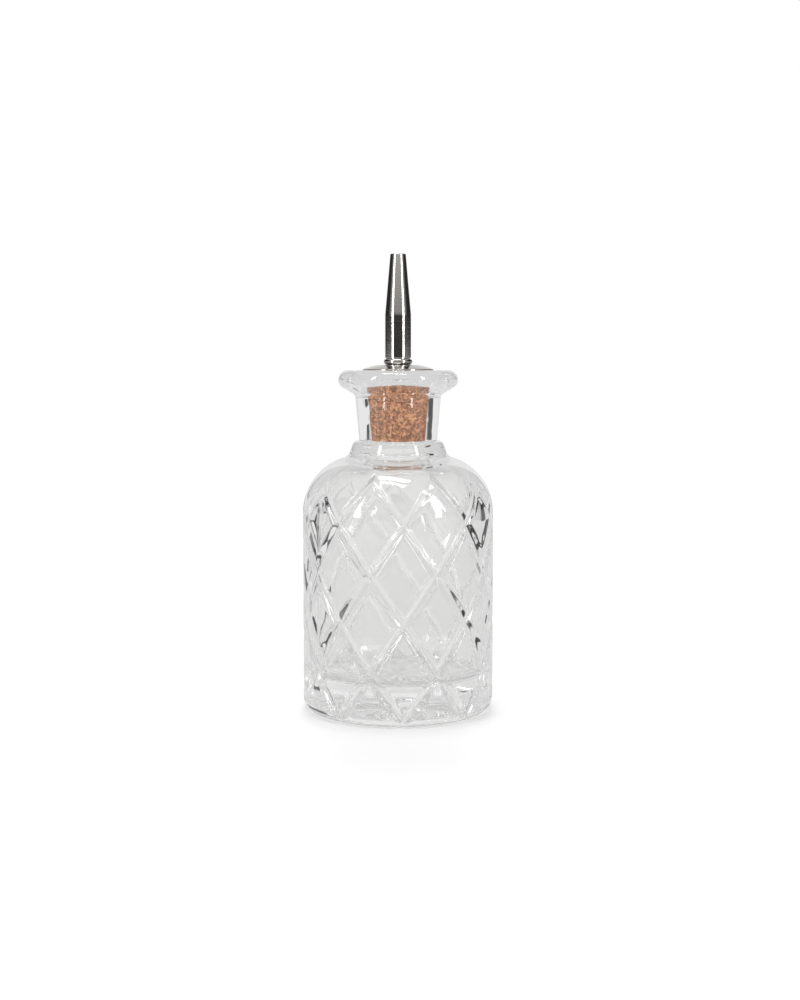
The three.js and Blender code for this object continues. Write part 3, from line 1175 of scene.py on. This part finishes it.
    def card(self, name, turns, reach, heights, grey, seen_by):
        """A bent grey card round the bottle, which only mirrors or only glass see.

        Turns are counted from the backdrop, +Y, towards +X.
        """
        low, high = heights
        steps = 12
        points = []
        for i in range(steps + 1):
            turn = math.radians(turns[0] + (turns[1] - turns[0]) * i / steps)
            across, along = reach * math.sin(turn), reach * math.cos(turn)
            points += [(across, along, low), (across, along, high)]
        faces = [(2 * i, 2 * i + 2, 2 * i + 3, 2 * i + 1) for i in range(steps)]
        mesh = bpy.data.meshes.new(name)
        mesh.from_pydata(points, [], faces)
        material, shader = finish(name)[:2]
        shader.inputs["Base Color"].default_value = (0, 0, 0, 1)
        shader.inputs["Specular IOR Level"].default_value = 0
        shader.inputs["Emission Color"].default_value = (grey, grey, grey, 1)
        shader.inputs["Emission Strength"].default_value = 1
        mesh.materials.append(material)
        card = add_to_stage(name, mesh)
        card.visible_camera = False
        card.visible_diffuse = False
        card.visible_shadow = False
        card.visible_glossy = seen_by == "mirrors"
        card.visible_transmission = seen_by == "glass"

    def lamps(self):
        """A box over the front, a strip at each side, and a box behind for the shadow."""
        self.softbox(
            "overhead_box", place=(-0.055, -0.14, 0.87), target=(0, -0.02, 0.06),
            width=0.43, height=0.11, brightness=16,
        )
        turn = math.radians(180 - STRIP_TURN)
        across = STRIP_REACH * math.sin(turn)
        along = STRIP_REACH * math.cos(turn)
        for side, name in ((-1, "left_strip"), (1, "right_strip")):
            self.softbox(
                name, place=(side * across, along, STRIP_HEIGHT), target=(0, 0, STRIP_HEIGHT),
                width=0.08, height=0.5, brightness=11,
            )
        back = self.softbox(
            "back_box", place=(0, 0.45, 0.75), target=(0, 0, 0),
            width=0.3, height=0.3, brightness=11,
        )
        back.visible_glossy = False
        back.visible_transmission = False

    def cards(self):
        """The cards that the steel mirrors, and the dark ones that the cuts show."""
        self.front_cards()
        for side, name in ((-1, "left"), (1, "right")):
            self.side_cards(side, name)
        for name, turns, reach, heights in ACCENTS:
            self.card(name, turns, reach, heights, ACCENT_DARK, "glass")

    def front_cards(self):
        """Behind the camera: dark below, which the barrel mirrors, and grey above."""
        edge = 180 - STRIP_TURN + STRIP_MARGIN
        turns = (edge, 360 - edge)
        low = FRONT_LOW_TOP
        heights = (CARD_FOOT, low)
        self.card("front_low", turns, MIRROR_REACH, heights, FRONT_DARK, "mirrors")
        for number, (high, grey) in enumerate(FRONT_SHADES):
            name = f"front_high_{number}"
            self.card(name, turns, MIRROR_REACH, (low, high), grey, "mirrors")
            low = high

    def side_cards(self, side, name):
        """At one side: dark below, and above from pale beside the strip to dark behind."""
        inner = 180 - STRIP_TURN - STRIP_MARGIN
        turns = (side * SIDE_SHADES[-1][0], side * inner)
        heights = (SIDE_LOW_FOOT, SIDE_LOW_TOP)
        self.card(f"{name}_dark", turns, MIRROR_REACH, heights, SIDE_DARK, "mirrors")
        heights = (SIDE_LOW_TOP, CARD_TOP)
        for number, (outer, grey) in enumerate(SIDE_SHADES):
            turns = (side * outer, side * inner)
            self.card(f"{name}_high_{number}", turns, MIRROR_REACH, heights, grey, "mirrors")
            inner = outer


class BITTERS_PT_panel(bpy.types.Panel):
    """Lists the pieces and their settings"""

    bl_idname = "BITTERS_PT_panel"
    bl_label = "Bitters Bottle"
    bl_space_type = "VIEW_3D"
    bl_region_type = "UI"
    bl_category = "Bitters Bottle"

    def draw(self, context):
        """Lists each group's settings above the buttons that use them."""
        for settings, names in SECTIONS:
            box = self.layout.box()
            group = getattr(context.scene, settings)
            for name in group.bl_rna.properties.keys():
                if name not in ("rna_type", "name"):
                    box.prop(group, name)
            for operator in names:
                box.operator(operator)


SECTIONS = (
    ("bitters_glass", ("bitters.glass",)),
    ("bitters_cork", ("bitters.cork",)),
    ("bitters_steel", ("bitters.disc", "bitters.spout", "bitters.stem")),
    ("bitters_stage", ("bitters.stage",)),
)
SETTINGS = {
    "bitters_glass": GlassSettings,
    "bitters_cork": CorkSettings,
    "bitters_steel": SteelSettings,
    "bitters_stage": StageSettings,
}
CLASSES = (
    *SETTINGS.values(),
    BITTERS_OT_glass,
    BITTERS_OT_cork,
    BITTERS_OT_disc,
    BITTERS_OT_spout,
    BITTERS_OT_stem,
    BITTERS_OT_stage,
    BITTERS_PT_panel,
)


def register():
    """Registers the classes and gives the scene their settings."""
    for kind in CLASSES:
        bpy.utils.register_class(kind)
    for name, kind in SETTINGS.items():
        setattr(bpy.types.Scene, name, bpy.props.PointerProperty(type=kind))


def unregister():
    """Takes the settings off the scene and unregisters the classes."""
    for name in SETTINGS:
        delattr(bpy.types.Scene, name)
    for kind in reversed(CLASSES):
        bpy.utils.unregister_class(kind)


def main():
    """Makes every piece and the stage."""
    register()
    bpy.ops.bitters.glass()
    bpy.ops.bitters.cork()
    bpy.ops.bitters.disc()
    bpy.ops.bitters.spout()
    bpy.ops.bitters.stem()
    bpy.ops.bitters.stage()


if __name__ == "__main__":
    main()
